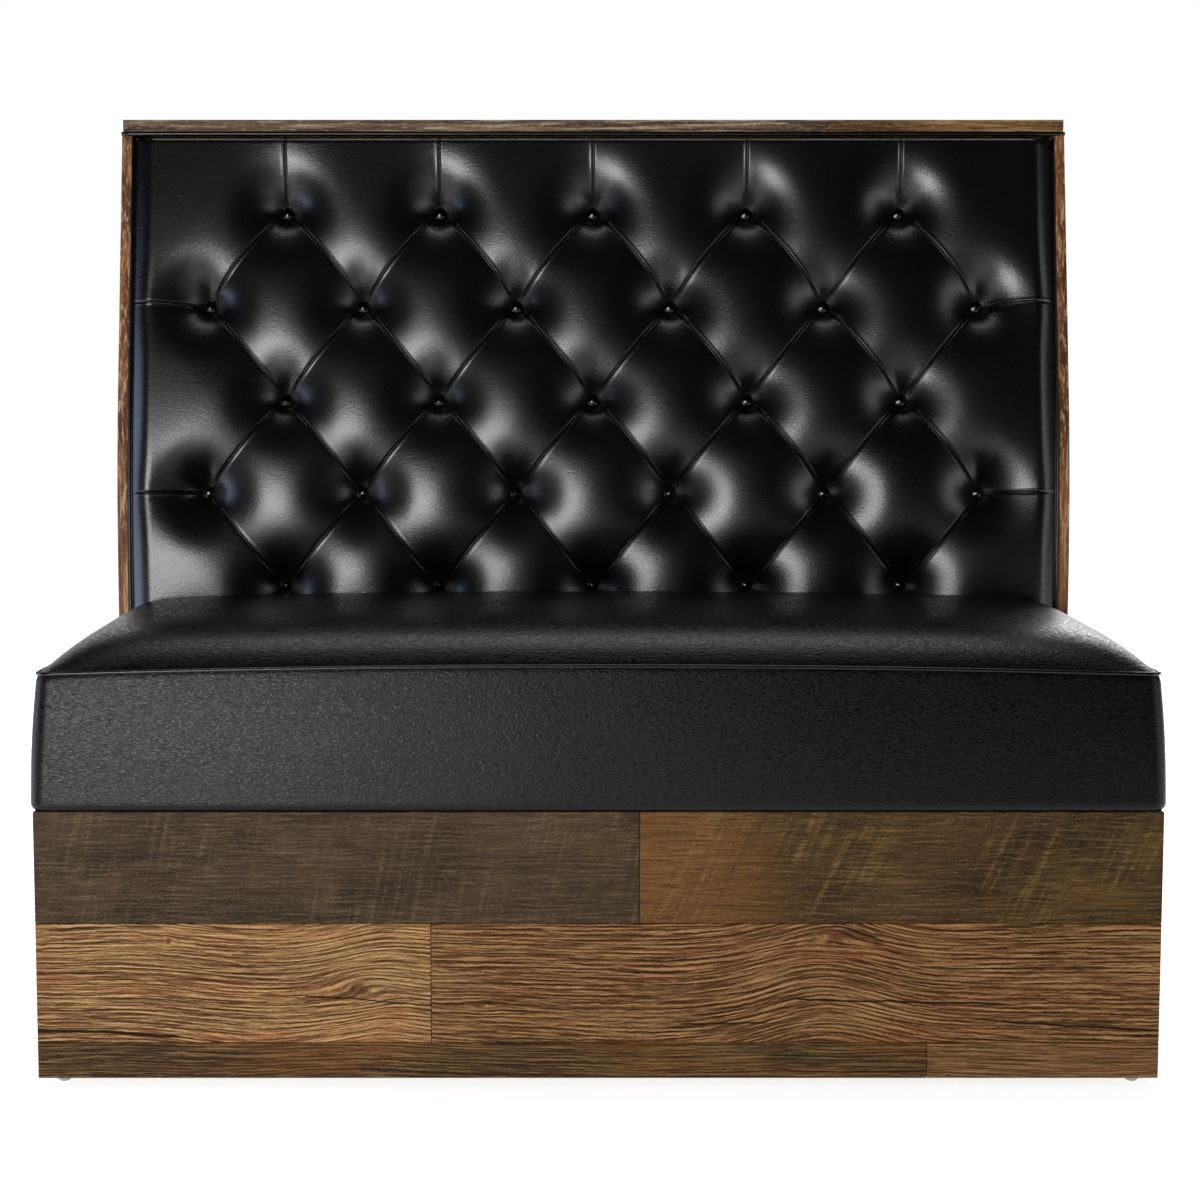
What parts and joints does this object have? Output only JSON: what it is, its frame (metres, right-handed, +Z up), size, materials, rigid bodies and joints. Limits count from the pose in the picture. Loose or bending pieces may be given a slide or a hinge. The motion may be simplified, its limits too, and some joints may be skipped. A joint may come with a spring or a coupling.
{
  "type": "upholstered banquette bench",
  "caption": "Single-sided dining booth bench with a diamond-tufted vinyl back, boxed vinyl seat, wood end panels and cap, and a plank-faced plinth on levelling feet.",
  "frame": {"origin": "on the floor under the middle of the bench's overall box", "axes": "+Z up, the sitter faces -Y and the flat rear face is on the +Y side, +X runs across the width to the viewer's right"},
  "size_m": [1.219, 0.635, 1.0975],
  "materials": {
    "vinyl": "glossy black upholstery vinyl with a fine grain",
    "vinyl_welt": "glossy black welt",
    "button_vinyl": "glossy black covered button",
    "plank_grey_brown": "matte wood-look laminate with saw marks",
    "plank_dark_brown": "matte wood-look laminate, mixed browns",
    "plank_warm_tan": "matte wood-look laminate with grain and knots",
    "plank_warm_brown": "matte wood-look laminate with grain",
    "cap_grey_tan": "matte wood-look laminate, greyed",
    "cap_brown": "matte wood-look laminate",
    "end_panel_oak": "matte wood-look laminate board",
    "rear_board": "plain stained plywood",
    "plywood": "raw plywood",
    "pine": "raw softwood",
    "foam": "open-cell upholstery foam",
    "felt": "pressed felt",
    "dust_cloth": "black non-woven cloth",
    "twine": "waxed twine",
    "anchor_plastic": "moulded button anchor",
    "zinc_steel": "zinc-plated steel",
    "spring_steel": "dark drawn wire",
    "nylon_glide": "translucent nylon glide"
  },
  "bodies": {
    "bench": {"back_cover": "vinyl", "back_deck": "plywood", "back_foam": "foam", "back_rib_inner_left": "plywood", "back_rib_inner_right": "plywood", "back_rib_left": "plywood", "back_rib_right": "plywood", "back_top_rail": "pine", "back_welt_left": "vinyl_welt", "back_welt_right": "vinyl_welt", "base_divider": "plywood", "base_front_panel": "plywood", "base_post_front_left": "pine", "base_post_front_right": "pine", "base_post_rear_left": "pine", "base_post_rear_right": "pine", "base_rear_rail": "plywood", "base_seat_rail": "plywood", "base_side_left": "plywood", "base_side_right": "plywood", "cap_bead": "vinyl_welt", "cap_board_left": "cap_grey_tan", "cap_board_right": "cap_brown", "cap_screws": "zinc_steel", "dust_cover": "dust_cloth", "end_panel_left": "end_panel_oak", "end_panel_right": "end_panel_oak", "end_panel_screws": "zinc_steel", "plank_lower_left": "plank_dark_brown", "plank_lower_right": "plank_warm_tan", "plank_middle_left": "plank_warm_tan", "plank_middle_right": "plank_warm_brown", "plank_screws": "zinc_steel", "plank_upper_left": "plank_grey_brown", "plank_upper_right": "plank_dark_brown", "rear_panel": "rear_board", "seat_cover": "vinyl", "seat_fixing_blocks": "pine", "seat_foam": "foam", "seat_rail_front": "pine", "seat_rail_left": "pine", "seat_rail_rear": "pine", "seat_rail_right": "pine", "seat_screws": "zinc_steel", "seat_springs": "spring_steel", "seat_welt": "vinyl_welt", "side_planks_left": "plank_warm_brown", "side_planks_right": "plank_warm_brown", "spring_clips": "spring_steel", "spring_felt": "felt", "tee_nuts": "zinc_steel", "tie_anchors": "anchor_plastic", "tuft_board": "plywood", "tuft_buttons": "button_vinyl", "tuft_ties": "twine"},
    "foot_front_left": {"leveller_front_left": "nylon_glide"},
    "foot_front_right": {"leveller_front_right": "nylon_glide"},
    "foot_rear_left": {"leveller_rear_left": "nylon_glide"},
    "foot_rear_right": {"leveller_rear_right": "nylon_glide"}
  },
  "joints": [
    {"name": "foot_front_left_screw", "type": "slide", "parent": "bench", "child": "foot_front_left", "axis": [0, 0, -1], "range_m": [0, 0.015]},
    {"name": "foot_front_right_screw", "type": "slide", "parent": "bench", "child": "foot_front_right", "axis": [0, 0, -1], "range_m": [0, 0.015]},
    {"name": "foot_rear_left_screw", "type": "slide", "parent": "bench", "child": "foot_rear_left", "axis": [0, 0, -1], "range_m": [0, 0.015]},
    {"name": "foot_rear_right_screw", "type": "slide", "parent": "bench", "child": "foot_rear_right", "axis": [0, 0, -1], "range_m": [0, 0.015]}
  ]
}
